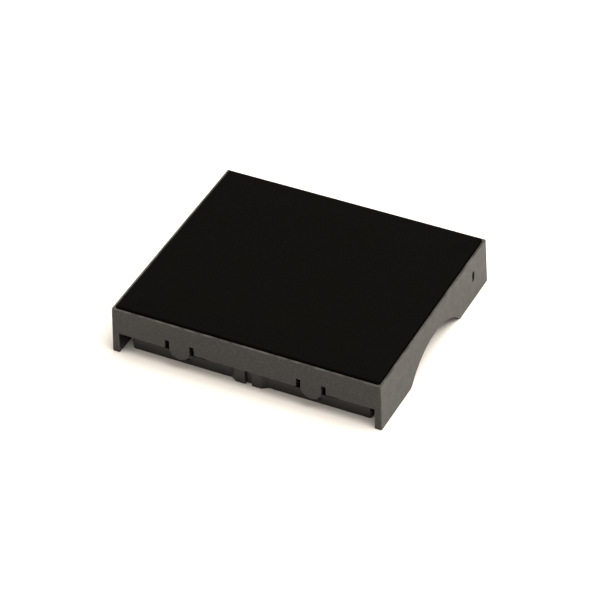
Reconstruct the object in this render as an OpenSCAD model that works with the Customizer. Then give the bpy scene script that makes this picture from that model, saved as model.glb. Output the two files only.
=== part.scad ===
// Replacement ink pad cartridge for a self-inking stamp.
// Millimetres. +X is to the right along the front, +Y to the back, +Z up.
// The origin is the middle of the footprint, on the surface the cartridge stands on.

/* [Housing] */
// Width of the housing across its feet
body_w = 70; // [66:0.5:90]
// Depth of the housing, front to back
body_d = 60.4; // [56:0.2:80]
// Height of the rim above the feet
rim_h = 12.6; // [12:0.1:14]
// How far each outer face leans in from the feet to the rim
draft = 0.35; // [0.05:0.05:0.6]
// Thickness of a side wall at its foot
side_wall = 1.9; // [1.6:0.1:2.4]
// Distance from the front of the feet to the back of the fascia
fascia_wall = 1.5; // [1.4:0.1:1.8]
// Height of the lower edge of the fascia and of the back wall
fascia_z = 5.6; // [4.8:0.1:5.8]
// Height of the deck's top face, which carries the felt
deck_top = 9.4; // [9.2:0.1:9.8]
// Thickness of the deck
deck_wall = 1; // [0.8:0.1:1.2]

/* [Pad] */
// Width of the bare rim round the pad
rim_w = 0.55; // [0.4:0.05:1.2]
// Clearance between the pad's cover and the rim
pad_gap = 0.1; // [0.05:0.05:0.3]
// How far the pad stands proud of the rim
pad_proud = 0.8; // [0.2:0.1:1.5]
// Thickness of the woven cover
cover_wall = 0.4; // [0.3:0.05:0.6]
// Thickness of the bonding film under the felt
film_wall = 0.12; // [0.08:0.02:0.2]
// Corner radius of the pad
pad_corner = 0.7; // [0.5:0.1:2]

/* [Side arches] */
// Length of each arch along the feet
arch_l = 27.8; // [20:0.2:30]
// Height of each arch
arch_h = 6.3; // [5:0.1:6.8]

/* [Detents] */
// Width of the upright, round-ended detent in each side wall
detent_w = 1.2; // [0.8:0.1:1.6]
// Height of each detent from end to end
detent_h = 2.9; // [2:0.1:3.2]
// Depth of each detent, from the face of the foot
detent_depth = 1.1; // [0.8:0.1:1.3]
// Distance of each detent's middle from the back face
detent_back = 8.2; // [6:0.1:12]
// Height of each detent's middle
detent_z = 7; // [6:0.1:8]

/* [Snap tabs] */
// Distance of each tab's centre from the middle
tab_x = 17; // [14:0.5:22]
// Width of a tab, which is also the diameter of its round end
tab_w = 5.4; // [4:0.1:7]
// Width of the relief slot on each side of a tab
tab_slot = 1.05; // [0.8:0.05:1.4]
// Height of the tab's root, at the top of its slots
tab_root_z = 7.9; // [7.4:0.1:8.2]
// Height of a tab's lower end
tab_low_z = 3.2; // [2.8:0.1:3.4]
// Distance from the front of the feet to the back of a tab
tab_wall = 1.2; // [1.1:0.1:1.3]
// How far the barb stands out from the back of a tab
barb_depth = 1.4; // [1:0.05:1.45]
// Width of the barb
barb_w = 3; // [2:0.1:3.6]

/* [Inner frame] */
// Distance of the inner frame's side faces from the housing's feet
frame_inset_x = 4; // [3.5:0.05:5]
// Distance of the inner frame's front and back faces from the housing's faces
frame_inset_y = 2.75; // [2.7:0.05:3]
// Thickness of the inner frame's walls
frame_wall = 1.5; // [1.2:0.1:1.6]
// Corner radius of the inner frame
frame_corner = 0.5; // [0.3:0.1:1.5]
// Clearance between the top of the inner frame and the deck
frame_gap = 0.1; // [0.05:0.05:0.2]
// Thickness of the inner frame's cross ribs
rib_wall = 1.2; // [1:0.1:1.6]
// Distance of each cross rib's middle from the middle of the frame
rib_y = 15.6; // [15.6:0.1:17]
// Height of the cross ribs' lower edges
rib_z = 1; // [0.6:0.1:2]
// Width of the catch window behind each tab
window_w = 11.2; // [6:0.2:12]
// Height of each catch window's lower edge
window_low_z = 3; // [2.6:0.1:3.2]
// Height of each catch window's upper edge
window_high_z = 5.8; // [5.2:0.1:6.4]

/* [Pull grip] */
// Width of the grip on the inner frame's front
grip_w = 9.5; // [7:0.1:12]
// How far the grip stands out from the inner frame
grip_out = 0.95; // [0.6:0.05:1]
// Width of the slope at each side of the grip
grip_slope = 1.4; // [0.6:0.1:2]
// Width of the groove down the middle of the grip
grip_groove = 1.65; // [1.2:0.05:2.5]
// Depth of the groove
groove_depth = 0.8; // [0.4:0.05:1.5]
// Height of the grip's top face
grip_h = 5; // [3:0.1:5.2]

/* [Locating pins] */
// Distance of each pin from the middle, across
pin_x = 27.4; // [27:0.1:28]
// Distance of each pin from the middle, front to back
pin_y = 24; // [23.6:0.1:24.5]
// Radius of a pin
pin_r = 1.2; // [1:0.1:1.4]
// Clearance round a pin in its socket
pin_gap = 0.1; // [0.05:0.05:0.2]
// Radius of the boss round a socket
boss_r = 2.6; // [2.4:0.1:3]
// Height of the pins' lower ends
pin_z = 2.4; // [1.5:0.1:4]

/* [Hidden] */
$fn = 64;

cut = 1;
foot_x = body_w / 2;
rim_x = foot_x - draft;
back_y = body_d / 2;
front_y = -back_y;
rim_y = back_y - draft;
deck_under = deck_top - deck_wall;
hollow_x = foot_x - side_wall;

pocket_w = 2 * (rim_x - rim_w);
pocket_d = 2 * (rim_y - rim_w);
cover_w = pocket_w - 2 * pad_gap;
cover_d = pocket_d - 2 * pad_gap;
felt_w = cover_w - 2 * cover_wall;
felt_d = cover_d - 2 * cover_wall;
felt_bottom = deck_top + film_wall;
pad_top = rim_h + pad_proud;
felt_top = pad_top - cover_wall;

arch_r = (pow(arch_l / 2, 2) + pow(arch_h, 2)) / (2 * arch_h);
arch_centre_z = arch_h - arch_r;

frame_w = body_w - 2 * frame_inset_x;
frame_d = body_d - 2 * frame_inset_y;
frame_top = deck_under - frame_gap;
strip_y = front_y + frame_inset_y;

tab_round_z = tab_low_z + tab_w / 2;
barb_low_z = 3.2;
barb_high_z = 4.6;
barb_tip_z = 4.2;

// A flat plate outline with round corners, made of squares and circles.
module rounded_rect(w, d, r) {
    square([w - 2 * r, d], center = true);
    square([w, d - 2 * r], center = true);
    for (sx = [-1, 1], sy = [-1, 1])
        translate([sx * (w / 2 - r), sy * (d / 2 - r)])
            circle(r = r);
}

// The space between the side walls from y0 to y1, open below and z_top high.
module hollow(y0, y1, z_top) {
    translate([-hollow_x, y0, -cut])
        cube([2 * hollow_x, y1 - y0, z_top + cut]);
}

// Turns an X-Z outline into a solid that runs from y0 to y1.
module along_y(y0, y1) {
    translate([0, y1, 0])
        rotate([90, 0, 0])
            linear_extrude(height = y1 - y0)
                children();
}

// The front and back faces' lean, as a solid w wide.
module leaning_block(w) {
    translate([-w / 2, 0, 0])
        rotate([90, 0, 90])
            linear_extrude(height = w)
                polygon([[front_y, 0], [back_y, 0], [rim_y, rim_h], [-rim_y, rim_h]]);
}

// The round passage that cuts the same arch through both side walls.
module arch_passage() {
    translate([0, 0, arch_centre_z])
        rotate([0, 90, 0])
            cylinder(r = arch_r, h = body_w + 2 * cut, center = true, $fn = 180);
}

// The outline of a snap tab, seen from the front: straight sides and a half-round lower end.
module tab_outline() {
    translate([-tab_w / 2, tab_round_z])
        square([tab_w, tab_root_z - tab_round_z]);
    intersection() {
        translate([0, tab_round_z])
            circle(r = tab_w / 2);
        translate([-tab_w / 2, tab_low_z])
            square([tab_w, tab_w / 2]);
    }
}

// One tongue with a round end and a leaning front face, and a barb on its back.
module snap_tab(x) {
    back = front_y + tab_wall;
    translate([x, 0, 0]) {
        intersection() {
            along_y(front_y - cut, back)
                tab_outline();
            leaning_block(tab_w + 2 * cut);
        }
        translate([-barb_w / 2, 0, 0])
            rotate([90, 0, 90])
                linear_extrude(height = barb_w)
                    polygon([[back, barb_low_z], [back, barb_high_z],
                             [back + barb_depth, barb_tip_z], [back + barb_depth, barb_tip_z - 0.3]]);
    }
}

// An upright, round-ended hole that runs from x0 to x1.
module detent_hole(x0, x1) {
    reach = (detent_h - detent_w) / 2;
    translate([x0, back_y - detent_back, detent_z])
        rotate([90, 0, 90])
            linear_extrude(height = x1 - x0) {
                square([detent_w, 2 * reach], center = true);
                for (sz = [-1, 1])
                    translate([0, sz * reach])
                        circle(r = detent_w / 2);
            }
}

// Four round pins under the deck, which locate the inner frame.
module locating_pins() {
    for (sx = [-1, 1], sy = [-1, 1])
        translate([sx * pin_x, sy * pin_y, pin_z])
            cylinder(r = pin_r, h = deck_under - pin_z + deck_wall / 2);
}

module housing() {
    color([0.20, 0.20, 0.20])
    difference() {
        union() {
            difference() {
                intersection() {
                    along_y(front_y - cut, back_y + cut)
                        polygon([[-foot_x, 0], [foot_x, 0], [rim_x, rim_h], [-rim_x, rim_h]]);
                    leaning_block(body_w + 2 * cut);
                }
                // hollow under the deck, between the fascia and the back wall
                hollow(front_y + fascia_wall, back_y - fascia_wall, deck_under);
            }
            locating_pins();
        }
        // open front and back between the feet, below the fascia and the back wall
        hollow(front_y - cut, front_y + fascia_wall, fascia_z);
        hollow(back_y - fascia_wall, back_y + cut, fascia_z);
        // pocket for the pad
        translate([0, 0, deck_top])
            linear_extrude(height = rim_h)
                rounded_rect(pocket_w, pocket_d, pad_corner);
        arch_passage();
        // gap in the fascia for each tab and its two relief slots
        for (sx = [-1, 1])
            translate([sx * tab_x - tab_w / 2 - tab_slot, front_y - cut, fascia_z - cut])
                cube([tab_w + 2 * tab_slot, fascia_wall + 2 * cut, tab_root_z - fascia_z + cut]);
        // a blind detent in each side wall
        detent_hole(-foot_x - cut, -foot_x + detent_depth);
        detent_hole(foot_x - detent_depth, foot_x + cut);
    }
}

module left_snap_tab() {
    color([0.24, 0.24, 0.24])
        snap_tab(-tab_x);
}

module right_snap_tab() {
    color([0.24, 0.24, 0.24])
        snap_tab(tab_x);
}

// The grip on the front of the inner frame, with sloping sides and a groove down its middle.
module pull_grip() {
    inside = strip_y + frame_wall / 2;
    front = strip_y - grip_out;
    linear_extrude(height = grip_h)
        difference() {
            polygon([[-grip_w / 2, inside], [-grip_w / 2, strip_y], [grip_slope - grip_w / 2, front],
                     [grip_w / 2 - grip_slope, front], [grip_w / 2, strip_y], [grip_w / 2, inside]]);
            translate([-grip_groove / 2, front - cut])
                square([grip_groove, groove_depth + cut]);
        }
}

module inner_frame() {
    color([0.13, 0.13, 0.13])
    difference() {
        union() {
            linear_extrude(height = frame_top)
                difference() {
                    rounded_rect(frame_w, frame_d, frame_corner);
                    square([frame_w - 2 * frame_wall, frame_d - 2 * frame_wall], center = true);
                }
            for (sy = [-1, 1])
                translate([-frame_w / 2 + frame_wall / 2, sy * rib_y - rib_wall / 2, rib_z])
                    cube([frame_w - frame_wall, rib_wall, frame_top - rib_z]);
            for (sx = [-1, 1], sy = [-1, 1])
                translate([sx * pin_x, sy * pin_y, rib_z])
                    cylinder(r = boss_r, h = frame_top - rib_z);
            pull_grip();
        }
        arch_passage();
        for (sx = [-1, 1], sy = [-1, 1])
            translate([sx * pin_x, sy * pin_y, -cut])
                cylinder(r = pin_r + pin_gap, h = frame_top + 2 * cut);
        // catch window behind each tab's barb
        for (sx = [-1, 1])
            translate([sx * tab_x - window_w / 2, strip_y - cut, window_low_z])
                cube([window_w, frame_wall + 2 * cut, window_high_z - window_low_z]);
    }
}

module felt_bond_film() {
    color([0.75, 0.68, 0.50])
        translate([0, 0, deck_top])
            linear_extrude(height = film_wall)
                rounded_rect(felt_w - 1, felt_d - 1, pad_corner);
}

module ink_felt() {
    color([0.05, 0.05, 0.07])
        translate([0, 0, felt_bottom])
            linear_extrude(height = felt_top - felt_bottom)
                rounded_rect(felt_w, felt_d, pad_corner / 2);
}

module pad_cover() {
    color([0.03, 0.03, 0.03])
    difference() {
        translate([0, 0, felt_bottom])
            linear_extrude(height = pad_top - felt_bottom)
                rounded_rect(cover_w, cover_d, pad_corner);
        translate([0, 0, felt_bottom - cut])
            linear_extrude(height = felt_top - felt_bottom + cut)
                rounded_rect(felt_w, felt_d, pad_corner / 2);
    }
}

housing();
left_snap_tab();
right_snap_tab();
inner_frame();
felt_bond_film();
ink_felt();
pad_cover();
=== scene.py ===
"""Looks of a self-inking stamp's ink pad cartridge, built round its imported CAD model.

The plastic pieces are the CAD solids with their edges rounded, so each keeps its CAD place and size.
The felt and its woven cover are swollen by a short cloth simulation, then fitted to their CAD boxes.
"""

import math

import bmesh
import bpy
import numpy as np
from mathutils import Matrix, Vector


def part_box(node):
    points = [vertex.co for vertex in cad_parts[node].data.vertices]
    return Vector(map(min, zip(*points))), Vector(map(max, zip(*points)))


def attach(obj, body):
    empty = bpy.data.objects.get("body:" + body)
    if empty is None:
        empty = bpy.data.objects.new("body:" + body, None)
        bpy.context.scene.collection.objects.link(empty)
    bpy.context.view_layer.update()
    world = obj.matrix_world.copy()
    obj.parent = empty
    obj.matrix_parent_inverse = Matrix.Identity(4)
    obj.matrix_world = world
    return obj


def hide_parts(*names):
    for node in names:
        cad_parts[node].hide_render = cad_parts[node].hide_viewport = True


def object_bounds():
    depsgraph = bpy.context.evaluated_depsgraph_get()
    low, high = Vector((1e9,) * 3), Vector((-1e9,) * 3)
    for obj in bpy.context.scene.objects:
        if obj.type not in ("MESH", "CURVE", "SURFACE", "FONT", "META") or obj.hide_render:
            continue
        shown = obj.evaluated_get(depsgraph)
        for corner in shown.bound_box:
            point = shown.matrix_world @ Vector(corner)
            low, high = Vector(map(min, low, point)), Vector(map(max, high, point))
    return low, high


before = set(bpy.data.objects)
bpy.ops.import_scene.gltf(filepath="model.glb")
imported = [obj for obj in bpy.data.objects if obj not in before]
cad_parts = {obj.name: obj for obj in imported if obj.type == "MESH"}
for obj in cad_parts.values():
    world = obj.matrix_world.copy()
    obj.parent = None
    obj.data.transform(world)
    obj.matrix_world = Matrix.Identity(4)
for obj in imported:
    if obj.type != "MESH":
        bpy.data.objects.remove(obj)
cad_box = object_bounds()

MM = 0.001
LEVEL = 0.02  # mm: heights closer than this are the same height
WELD = 0.001  # mm
FLAT_DEG = 0.4  # CAD facets that differ by less are one flat face
SHARP_DEG = 28.0  # an edge sharper than this is rounded
ALIKE_DEG = 40.0  # faces within this angle shade as one smooth surface


# ---------------------------------------------------------------- node helpers


class Nodes:
    """Builds one material's node tree with few words."""

    def __init__(self, name):
        self.material = bpy.data.materials.new(name)
        self.material.use_nodes = True
        self.tree = self.material.node_tree
        self.tree.nodes.clear()
        output = self.tree.nodes.new("ShaderNodeOutputMaterial")
        self.shader = self.tree.nodes.new("ShaderNodeBsdfPrincipled")
        self.link(self.shader.outputs["BSDF"], output.inputs["Surface"])

    def link(self, source, target):
        self.tree.links.new(source, target)

    def put(self, socket, value):
        if isinstance(value, bpy.types.NodeSocket):
            self.link(value, socket)
        else:
            socket.default_value = value

    def new(self, kind, **inputs):
        node = self.tree.nodes.new("ShaderNode" + kind)
        for name, value in inputs.items():
            self.put(node.inputs[name], value)
        return node

    def math(self, operation, first, second=None):
        node = self.tree.nodes.new("ShaderNodeMath")
        node.operation = operation
        self.put(node.inputs[0], first)
        if second is not None:
            self.put(node.inputs[1], second)
        return node.outputs[0]

    def span(self, value, low, high, to_low, to_high):
        """Maps value from low..high to to_low..to_high, and holds it there."""
        node = self.new("MapRange")
        for name, number in (("Value", value), ("From Min", low), ("From Max", high),
                             ("To Min", to_low), ("To Max", to_high)):
            self.put(node.inputs[name], number)
        return node.outputs["Result"]

    def mix(self, factor, first, second):
        """Blends two colours; sockets 6, 7 and output 2 are the colour ones of the Mix node."""
        node = self.tree.nodes.new("ShaderNodeMix")
        node.data_type = "RGBA"
        self.put(node.inputs["Factor"], factor)
        self.put(node.inputs[6], first)
        self.put(node.inputs[7], second)
        return node.outputs[2]

    def place(self):
        return self.new("TexCoord").outputs["Object"]

    def noise(self, size_mm, detail=3.0, rough=0.55, vector=None):
        """Noise whose features are about size_mm across."""
        node = self.new("TexNoise", Scale=1 / (size_mm * MM), Detail=detail, Roughness=rough)
        self.link(vector or self.place(), node.inputs["Vector"])
        return node.outputs["Fac"]

    def bump(self, height, depth_mm):
        """Raises the surface by depth_mm where height is 1."""
        node = self.new("Bump", Strength=1.0, Distance=depth_mm * MM)
        self.link(height, node.inputs["Height"])
        self.link(node.outputs["Normal"], self.shader.inputs["Normal"])


# ---------------------------------------------------------------- materials


def moulded_plastic(name, dark, light, speck_and_highlight):
    """Dark moulded plastic: spark-eroded grain, faint flow clouds and hairline scuffs, with a painted
    highlight: marked faces are painted much lighter in noisy patches.
    """
    n = Nodes(name)
    clouds = n.noise(9.0, 4.0)
    specks = n.noise(0.5, 2.0)
    base = n.mix(n.span(clouds, 0.35, 0.65, 0.0, 1.0), dark, light)
    base = n.mix(n.span(specks, 0.50, 0.72, 0.0, 0.32), base, speck_and_highlight)
    # painted highlight: the faces that this attribute marks are painted towards the much lighter speck
    # colour, in noisy patches
    painted_highlight = n.new("Attribute")
    painted_highlight.attribute_name = "painted_highlight"
    patchy_highlight = n.math("MULTIPLY", painted_highlight.outputs["Fac"], n.span(n.noise(3.0, 5.0), 0.38, 0.62, 0.25, 1.0))
    n.put(n.shader.inputs["Base Color"], n.mix(patchy_highlight, base, speck_and_highlight))
    stretched = n.new("Mapping", Vector=n.place(), Scale=(1.0, 14.0, 9.0))
    hairs = n.noise(6.0, 2.0, 0.5, stretched.outputs["Vector"])
    scuffed = n.span(clouds, 0.45, 0.6, 0.0, 1.0)
    scuffs = n.math("MULTIPLY", n.span(hairs, 0.62, 0.66, 0.0, 1.0), scuffed)
    rough = n.span(n.noise(2.2, 4.0), 0.3, 0.7, 0.36, 0.44)
    rough = n.math("SUBTRACT", rough, n.math("MULTIPLY", patchy_highlight, 0.08))
    n.put(n.shader.inputs["Roughness"], n.math("ADD", rough, n.math("MULTIPLY", scuffs, 0.05)))
    n.shader.inputs["Specular IOR Level"].default_value = 0.34
    n.shader.inputs["IOR"].default_value = 1.5
    n.bump(n.noise(0.16, 3.0, 0.6), 0.012)
    return n.material


WEAVE_PITCH = 0.42  # mm


def woven_cloth(name):
    """Fine plain weave soaked with black ink: round threads over and under, damp sheen in patches."""
    n = Nodes(name)
    split = n.new("SeparateXYZ", Vector=n.place())
    warp, weft = (n.math("MULTIPLY", split.outputs[axis], 1 / (WEAVE_PITCH * MM)) for axis in "XY")
    warp_crown, weft_crown = (
        n.math("ABSOLUTE", n.math("SINE", n.math("MULTIPLY", lane, math.pi))) for lane in (warp, weft))
    cell = n.math("ADD", n.math("FLOOR", warp), n.math("FLOOR", weft))
    warp_on_top = n.math("ABSOLUTE", n.math("MODULO", cell, 2.0))
    weft_on_top = n.math("SUBTRACT", 1.0, warp_on_top)

    def thread(on_top, across, along):
        return n.math("MULTIPLY", on_top, n.math("MULTIPLY", across, n.math("POWER", along, 0.5)))

    weave = n.math("ADD", thread(warp_on_top, warp_crown, weft_crown),
                   thread(weft_on_top, weft_crown, warp_crown))
    slub = n.noise(1.4, 3.0)
    height = n.math("MULTIPLY", weave, n.span(slub, 0.3, 0.7, 0.75, 1.0))
    damp = n.noise(13.0, 3.0)
    deep = (0.0009, 0.0009, 0.0007, 1.0)
    dry = (0.0032, 0.0030, 0.0023, 1.0)
    tone = n.math("MULTIPLY", n.span(height, 0.0, 1.0, 0.35, 1.0), n.span(damp, 0.35, 0.65, 0.55, 1.0))
    n.put(n.shader.inputs["Base Color"], n.mix(tone, deep, dry))
    rough = n.span(damp, 0.35, 0.65, 0.62, 0.78)
    n.put(n.shader.inputs["Roughness"], n.math("SUBTRACT", rough, n.math("MULTIPLY", weave, 0.08)))
    n.shader.inputs["Specular IOR Level"].default_value = 0.015
    n.bump(height, 0.05)
    return n.material


def pressed_felt(name):
    """Pressed wool felt soaked with ink: matted fibres with a loose nap."""
    n = Nodes(name)
    fibres = n.noise(0.25, 6.0, 0.7)
    clumps = n.noise(2.5, 3.0)
    colour = n.mix(n.span(clumps, 0.35, 0.65, 0.0, 1.0), (0.006, 0.006, 0.008, 1), (0.018, 0.017, 0.02, 1))
    n.put(n.shader.inputs["Base Color"], colour)
    n.put(n.shader.inputs["Roughness"], n.span(fibres, 0.3, 0.7, 0.75, 0.95))
    n.shader.inputs["Sheen Weight"].default_value = 0.15
    n.bump(fibres, 0.08)
    return n.material


def adhesive_film(name):
    """Thin amber adhesive film with small trapped bubbles."""
    n = Nodes(name)
    bubbles = n.new("TexVoronoi", Scale=1 / (1.6 * MM), Vector=n.place()).outputs["Distance"]
    ring = n.span(bubbles, 0.05, 0.22, 0.0, 1.0)
    colour = n.mix(ring, (0.55, 0.45, 0.28, 1), (0.46, 0.34, 0.17, 1))
    n.put(n.shader.inputs["Base Color"], colour)
    n.put(n.shader.inputs["Roughness"], n.span(n.noise(1.2), 0.3, 0.7, 0.18, 0.35))
    n.bump(ring, 0.02)
    return n.material


def pale_floor():
    n = Nodes("pale_floor")
    paper = n.noise(4.0, 4.0)
    n.put(n.shader.inputs["Base Color"], n.mix(paper, (0.91, 0.88, 0.84, 1), (0.93, 0.90, 0.86, 1)))
    n.shader.inputs["Roughness"].default_value = 0.75
    n.shader.inputs["Specular IOR Level"].default_value = 0.2
    return n.material


# ---------------------------------------------------------------- plastic pieces


# millimetres, in the CAD frame
LEANING_BAND = 0.5  # the outer faces lean in by less than this
FASCIA_DEPTH = 1.6  # the fascia lies within this of the front
TAB_FACE_Y = -29.7  # a tab's front face lies in front of this
DETENT_Y = 19.0  # the detent slots lie behind this
DETENT_Z = (5.0, 9.0)  # and between these heights


def new_piece(name, mesh, body, replaces, material):
    piece = bpy.data.objects.new(name, mesh)
    bpy.context.scene.collection.objects.link(piece)
    mesh.materials.clear()
    mesh.materials.append(material)
    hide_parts(replaces)
    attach(piece, body)
    return piece


def apply_modifiers(piece):
    """Turns a piece's modifiers into its mesh."""
    graph = bpy.context.evaluated_depsgraph_get()
    made = bpy.data.meshes.new_from_object(piece.evaluated_get(graph), depsgraph=graph)
    piece.modifiers.clear()
    old = piece.data
    piece.data = made
    bpy.data.meshes.remove(old)


def clean_cad_mesh(node):
    """The node's CAD mesh, welded, with its flat faces made whole."""
    solid = bmesh.new()
    solid.from_mesh(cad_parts[node].data)
    bmesh.ops.remove_doubles(solid, verts=solid.verts, dist=WELD * MM)
    bmesh.ops.dissolve_limit(solid, angle_limit=math.radians(FLAT_DEG), verts=solid.verts,
                             edges=solid.edges)
    return solid


def round_edges(node, name, body, material, radius):
    """A CAD solid with each sharp edge rounded to radius(edge middle, convex) in millimetres."""
    solid = clean_cad_mesh(node)
    weight = solid.edges.layers.float.new("bevel_weight_edge")
    widest = 0.0
    for edge in solid.edges:
        edge.smooth = True
        if len(edge.link_faces) != 2 or edge.calc_face_angle(0.0) < math.radians(SHARP_DEG):
            continue
        a, b = (v.co / MM for v in edge.verts)
        edge[weight] = radius((a + b) / 2, edge.is_convex)
        widest = max(widest, edge[weight])
        if edge[weight] == 0.0:
            edge.smooth = False
    for edge in solid.edges:
        edge[weight] /= widest
    for face in solid.faces:
        face.smooth = True
    mesh = bpy.data.meshes.new(name)
    solid.to_mesh(mesh)
    solid.free()
    piece = new_piece(name, mesh, body, node, material)
    bevel = piece.modifiers.new("round", "BEVEL")
    bevel.limit_method = "WEIGHT"
    bevel.width = widest * MM
    bevel.segments = 3
    bevel.use_clamp_overlap = False
    bevel.miter_outer = "MITER_ARC"
    apply_modifiers(piece)
    return piece


def mark_painted_highlight(piece, highlight_amount):
    """Stores how strongly each face is painted with highlight, 0 to 1, from the given function of the face
    middle in millimetres and the face normal.
    """
    painted_highlight = piece.data.attributes.new("painted_highlight", "FLOAT", "FACE")
    for face, value in zip(piece.data.polygons, painted_highlight.data):
        value.value = highlight_amount(face.center / MM, face.normal)


# Painted highlight for the housing: a bright line painted on the rim top and on the bevels round its outer
# walls.
def housing_painted_highlight(rim_z, half_x, half_y):
    def highlight_amount(middle, normal):
        if middle.z > rim_z - 0.15 and normal.z > 0.3:
            return 1.0  # the rim top, painted as a bright highlight line; this rim meets the stamp's text plate
        # the slanted bevels round the outer walls, upright corners included, are painted lighter as
        # highlight
        outer = abs(middle.x) > half_x - 0.6 or abs(middle.y) > half_y - 0.6
        slanted = max(abs(c) for c in normal) < 0.97
        return 0.8 if outer and slanted else 0.0
    return highlight_amount


# no painted highlight
def no_painted_highlight(middle, normal):
    return 0.0


def settle_normals(piece):
    """Lets the largest face at each corner rule its normal, so flat faces shade flat up to their edges."""
    mesh = piece.data
    faces = mesh.polygons
    around = [[] for _ in mesh.vertices]
    for face in faces:
        for corner in face.vertices:
            around[corner].append(face.index)
    normals = np.array([face.normal[:] for face in faces])
    pull = normals * np.array([face.area for face in faces])[:, None]
    limit = math.cos(math.radians(ALIKE_DEG))
    corners = np.zeros((len(mesh.loops), 3))
    for face in faces:
        for loop, corner in zip(face.loop_indices, face.vertices):
            near = around[corner]
            alike = normals[near] @ normals[face.index] > limit
            corners[loop] = pull[near][alike].sum(axis=0)
    corners /= np.maximum(np.linalg.norm(corners, axis=1, keepdims=True), 1e-12)
    mesh.normals_split_custom_set(corners.tolist())


def housing_radius(rim_z, half_x, half_y, root_z):
    def radius(middle, convex):
        at_side = abs(middle.x) > half_x - LEANING_BAND
        at_end = abs(middle.y) > half_y - LEANING_BAND
        if abs(middle.z - root_z) < LEVEL and middle.y < -half_y + FASCIA_DEPTH:
            return 0.0  # the tabs' roots run into the fascia without a break
        if not convex:
            return 0.1
        if abs(middle.z - rim_z) < LEVEL:
            return 0.16 if at_side or at_end else 0.1
        if at_side and at_end:
            return 0.25  # the four upright corners
        if at_side and middle.y > DETENT_Y and DETENT_Z[0] < middle.z < DETENT_Z[1]:
            return 0.1
        return 0.2 if at_side or at_end else 0.12
    return radius


def tab_radius(root_z):
    def radius(middle, convex):
        if abs(middle.z - root_z) < LEVEL:
            return 0.0
        return 0.14 if convex and middle.y < TAB_FACE_Y else 0.08
    return radius


def inner_frame_radius(top_z):
    def radius(middle, convex):
        if middle.z > top_z - 0.05:
            return 0.08
        return 0.18 if convex else 0.08
    return radius


# ---------------------------------------------------------------- the pad


SIM_SCALE = 10.0  # the pad is simulated at ten times its size, as a cushion
SIM_FRAMES = 16
PRESSURE = 4.0
# millimetres
SWELL = 0.14  # the furthest that the pressure may move a point
EDGE_RADIUS = 0.3
CELL = 1.3
HELD_BAND = 0.5  # the height above the pad's base that stays put
CLOTH_THICKNESS = 0.36
OPEN_BELOW = 0.15  # the cover has no faces lower than this above its base


def lattice(low, high, edge, cell):
    """Positions from low to high about one cell apart, with finer steps within edge of each end."""
    count = max(2, round((high - low - 2 * edge) / cell))
    inner = [low + edge + (high - low - 2 * edge) * i / count for i in range(count + 1)]
    return [low, low + edge / 3, low + 2 * edge / 3] + inner + [high - 2 * edge / 3, high - edge / 3, high]


def rounded_block(lo, hi):
    """A closed block of square faces between two corners, with its edges rounded."""
    edge = EDGE_RADIUS * MM
    steps = [lattice(lo[i], hi[i], edge, CELL * MM) for i in range(3)]
    solid = bmesh.new()
    made = {}

    def vertex(key):
        if key not in made:
            point = Vector(steps[i][key[i]] for i in range(3))
            core = Vector(min(max(point[i], lo[i] + edge), hi[i] - edge) for i in range(3))
            out = point - core
            made[key] = solid.verts.new(core + out.normalized() * edge if out.length > 0 else point)
        return made[key]

    for axis in range(3):
        u, v = (axis + 1) % 3, (axis + 2) % 3
        for side in (0, len(steps[axis]) - 1):
            for i in range(len(steps[u]) - 1):
                for j in range(len(steps[v]) - 1):
                    ring = []
                    for di, dj in ((0, 0), (1, 0), (1, 1), (0, 1)):
                        key = [0, 0, 0]
                        key[axis], key[u], key[v] = side, i + di, j + dj
                        ring.append(vertex(tuple(key)))
                    solid.faces.new(ring if side else ring[::-1])
    return solid


def positions(mesh):
    flat = np.empty(len(mesh.vertices) * 3)
    mesh.vertices.foreach_get("co", flat)
    return flat.reshape(-1, 3)


def swollen_pad(lo, hi):
    """A felt block between lo and hi, swollen by cloth pressure: crowned, tight, with its base held flat."""
    solid = rounded_block(lo, hi)
    for v in solid.verts:
        v.co *= SIM_SCALE
    mesh = bpy.data.meshes.new("pad_sim")
    solid.to_mesh(mesh)
    solid.free()
    sim = bpy.data.objects.new("pad_sim", mesh)
    bpy.context.scene.collection.objects.link(sim)
    held = sim.vertex_groups.new(name="held")
    held_z = (lo.z + HELD_BAND * MM) * SIM_SCALE
    held.add([v.index for v in sim.data.vertices if v.co.z < held_z], 1.0, "REPLACE")
    before = positions(sim.data)
    cloth = sim.modifiers.new("cloth", "CLOTH")
    cloth.settings.quality = 6
    cloth.settings.mass = 0.4
    cloth.settings.tension_stiffness = 25
    cloth.settings.compression_stiffness = 25
    cloth.settings.shear_stiffness = 12
    cloth.settings.bending_stiffness = 1.5
    cloth.settings.use_pressure = True
    cloth.settings.uniform_pressure_force = PRESSURE
    cloth.settings.vertex_group_mass = "held"
    cloth.settings.effector_weights.gravity = 0.0
    cloth.collision_settings.use_collision = False
    cloth.point_cache.frame_start, cloth.point_cache.frame_end = 1, SIM_FRAMES
    for number in range(1, SIM_FRAMES + 1):
        bpy.context.scene.frame_set(number)
    apply_modifiers(sim)
    bpy.context.scene.frame_set(1)
    after = positions(sim.data)
    move = after - before
    reach = np.linalg.norm(move, axis=1, keepdims=True)
    cap = SWELL * MM * SIM_SCALE
    after = before + move * np.minimum(1.0, cap / np.maximum(reach, 1e-9))
    result = bmesh.new()
    result.from_mesh(sim.data)
    for v, p in zip(result.verts, after / SIM_SCALE):
        v.co = p
    bpy.data.objects.remove(sim)
    return result


def fit_to_box(solid, lo, hi):
    """Scales a mesh to fill a box exactly."""
    points = np.array([v.co[:] for v in solid.verts])
    low, high = points.min(axis=0), points.max(axis=0)
    for v in solid.verts:
        for i in range(3):
            v.co[i] = lo[i] + (v.co[i] - low[i]) / (high[i] - low[i]) * (hi[i] - lo[i])


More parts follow.
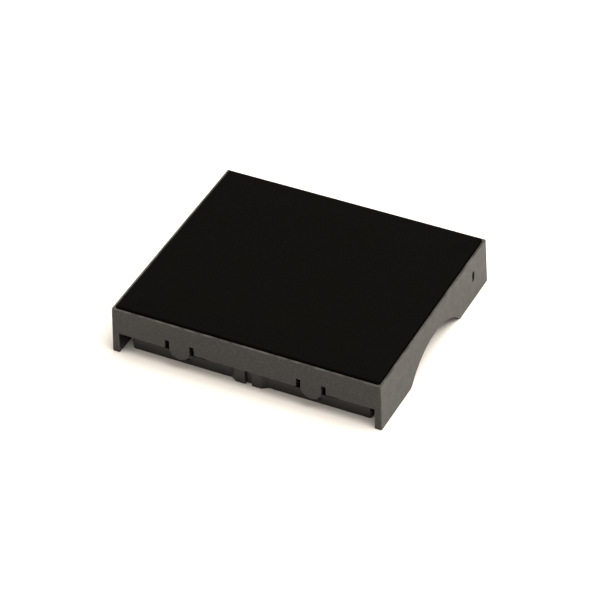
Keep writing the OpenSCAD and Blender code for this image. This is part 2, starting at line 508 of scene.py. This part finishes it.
def make_pad(cloth, felt):
    """The felt, and the cover stretched over it with its skirt tucked down inside the rim."""
    lo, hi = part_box("pad_cover")
    solid = swollen_pad(lo, hi)
    fit_to_box(solid, lo, hi)
    solid.normal_update()

    felt_mesh = bpy.data.meshes.new("ink_felt_block")
    solid.to_mesh(felt_mesh)
    felt_lo, felt_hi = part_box("ink_felt")
    block = bmesh.new()
    block.from_mesh(felt_mesh)
    fit_to_box(block, felt_lo, felt_hi)
    for face in block.faces:
        face.smooth = True
    block.to_mesh(felt_mesh)
    block.free()
    felt_piece = new_piece("ink_felt_block", felt_mesh, "cartridge", "ink_felt", felt)

    open_z = lo.z + OPEN_BELOW * MM
    under = [f for f in solid.faces if f.normal.z < -0.5 or f.calc_center_median().z < open_z]
    bmesh.ops.delete(solid, geom=under, context="FACES")
    for face in solid.faces:
        face.smooth = True
    cover_mesh = bpy.data.meshes.new("pad_cover_cloth")
    solid.to_mesh(cover_mesh)
    solid.free()
    cover = new_piece("pad_cover_cloth", cover_mesh, "cartridge", "pad_cover", cloth)
    wall = cover.modifiers.new("thickness", "SOLIDIFY")
    wall.thickness = CLOTH_THICKNESS * MM
    wall.offset = -1.0
    apply_modifiers(cover)


# ---------------------------------------------------------------- stage, light and camera


def make_key():
    """A large soft lamp, above and to the right, that faces the middle of the floor."""
    lamp = bpy.data.lights.new("key", "AREA")
    lamp.shape = "RECTANGLE"
    lamp.size, lamp.size_y = 0.7, 0.7
    lamp.energy = 9.5
    lamp.color = (1.0, 0.955, 0.905)
    light = bpy.data.objects.new("key", lamp)
    bpy.context.scene.collection.objects.link(light)
    light.location = (0.34, 0.08, 0.78)
    light.rotation_euler = (-light.location).to_track_quat("-Z", "Y").to_euler()


def make_floor():
    solid = bmesh.new()
    bmesh.ops.create_grid(solid, x_segments=1, y_segments=1, size=6.0)
    mesh = bpy.data.meshes.new("floor")
    solid.to_mesh(mesh)
    solid.free()
    floor = bpy.data.objects.new("floor", mesh)
    floor.location.z = cad_box[0].z
    bpy.context.scene.collection.objects.link(floor)
    mesh.materials.append(pale_floor())


def make_world():
    """A warm white studio, dimmer in front and to the right than behind."""
    world = bpy.data.worlds.new("studio")
    bpy.context.scene.world = world
    world.use_nodes = True
    tree = world.node_tree
    background = tree.nodes["Background"]
    background.inputs["Color"].default_value = (1.0, 0.945, 0.880, 1.0)
    coordinates = tree.nodes.new("ShaderNodeTexCoord")
    toward = tree.nodes.new("ShaderNodeVectorMath")
    toward.operation = "DOT_PRODUCT"
    toward.inputs[1].default_value = (0.38, -0.70, 0.60)
    tree.links.new(coordinates.outputs["Generated"], toward.inputs[0])
    fade = tree.nodes.new("ShaderNodeMapRange")
    fade.interpolation_type = "SMOOTHSTEP"
    for name, number in (("From Min", 0.45), ("From Max", 0.95), ("To Min", 1.08), ("To Max", 0.72)):
        fade.inputs[name].default_value = number
    tree.links.new(toward.outputs["Value"], fade.inputs["Value"])
    tree.links.new(fade.outputs["Result"], background.inputs["Strength"])


def make_camera():
    """A long lens, in front and to the right of the cartridge, looking down on it."""
    azimuth, elevation, roll = (math.radians(x) for x in (27.389, 38.810, -2.060))
    distance = 747.03 * MM
    slide_right, slide_up = -0.542 * MM, 3.562 * MM
    back = Vector((math.sin(azimuth) * math.cos(elevation), -math.cos(azimuth) * math.cos(elevation),
                   math.sin(elevation)))
    level = Vector((0, 0, 1)).cross(back).normalized()
    upright = back.cross(level)
    right = level * math.cos(roll) + upright * math.sin(roll)
    up = upright * math.cos(roll) - level * math.sin(roll)
    data = bpy.data.cameras.new("camera")
    data.sensor_width = 36.0
    data.lens = 187.92
    data.clip_start, data.clip_end = 0.01, 50.0
    camera = bpy.data.objects.new("camera", data)
    bpy.context.scene.collection.objects.link(camera)
    foot = Vector(((cad_box[0].x + cad_box[1].x) / 2, (cad_box[0].y + cad_box[1].y) / 2, cad_box[0].z))
    place = foot + back * distance + right * slide_right + up * slide_up
    for i in range(3):
        camera.matrix_world[i][0], camera.matrix_world[i][1] = right[i], up[i]
        camera.matrix_world[i][2], camera.matrix_world[i][3] = back[i], place[i]
    bpy.context.scene.camera = camera


# ---------------------------------------------------------------- assembly


make_camera()
make_floor()
make_world()
make_key()
bpy.context.scene.view_settings.view_transform = "Standard"

housing_plastic = moulded_plastic(
    "housing_plastic", (0.0050, 0.0048, 0.0042, 1), (0.0072, 0.0070, 0.0061, 1), (0.060, 0.058, 0.052, 1))
# the inner frame gets the housing's plastic painted darker, as painted shade for its place in the shadow
# under the fascia
frame_plastic = moulded_plastic(
    "frame_plastic", (0.0045, 0.0044, 0.0040, 1), (0.0062, 0.0060, 0.0055, 1), (0.018, 0.0175, 0.016, 1))

housing_lo, housing_hi = (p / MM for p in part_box("housing"))
tab_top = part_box("left_snap_tab")[1].z / MM
frame_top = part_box("inner_frame")[1].z / MM

plastic = [
    round_edges("housing", "housing_shell", "cartridge", housing_plastic,
                housing_radius(housing_hi.z, housing_hi.x, housing_hi.y, tab_top)),
    round_edges("left_snap_tab", "left_tab_tongue", "left_latch", housing_plastic,
                tab_radius(tab_top)),
    round_edges("right_snap_tab", "right_tab_tongue", "right_latch", housing_plastic,
                tab_radius(tab_top)),
    round_edges("inner_frame", "inner_frame_moulding", "base", frame_plastic,
                inner_frame_radius(frame_top)),
]
for piece in plastic:
    settle_normals(piece)
    # only the housing shell gets the painted highlight
    mark_painted_highlight(piece, no_painted_highlight if piece.name != "housing_shell" else
              housing_painted_highlight(housing_hi.z, housing_hi.x, housing_hi.y))

make_pad(woven_cloth("cover_cloth"), pressed_felt("felt"))

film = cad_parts["felt_bond_film"]
film_look = adhesive_film("bond_film")
for material_slot in film.material_slots:
    material_slot.material = film_look
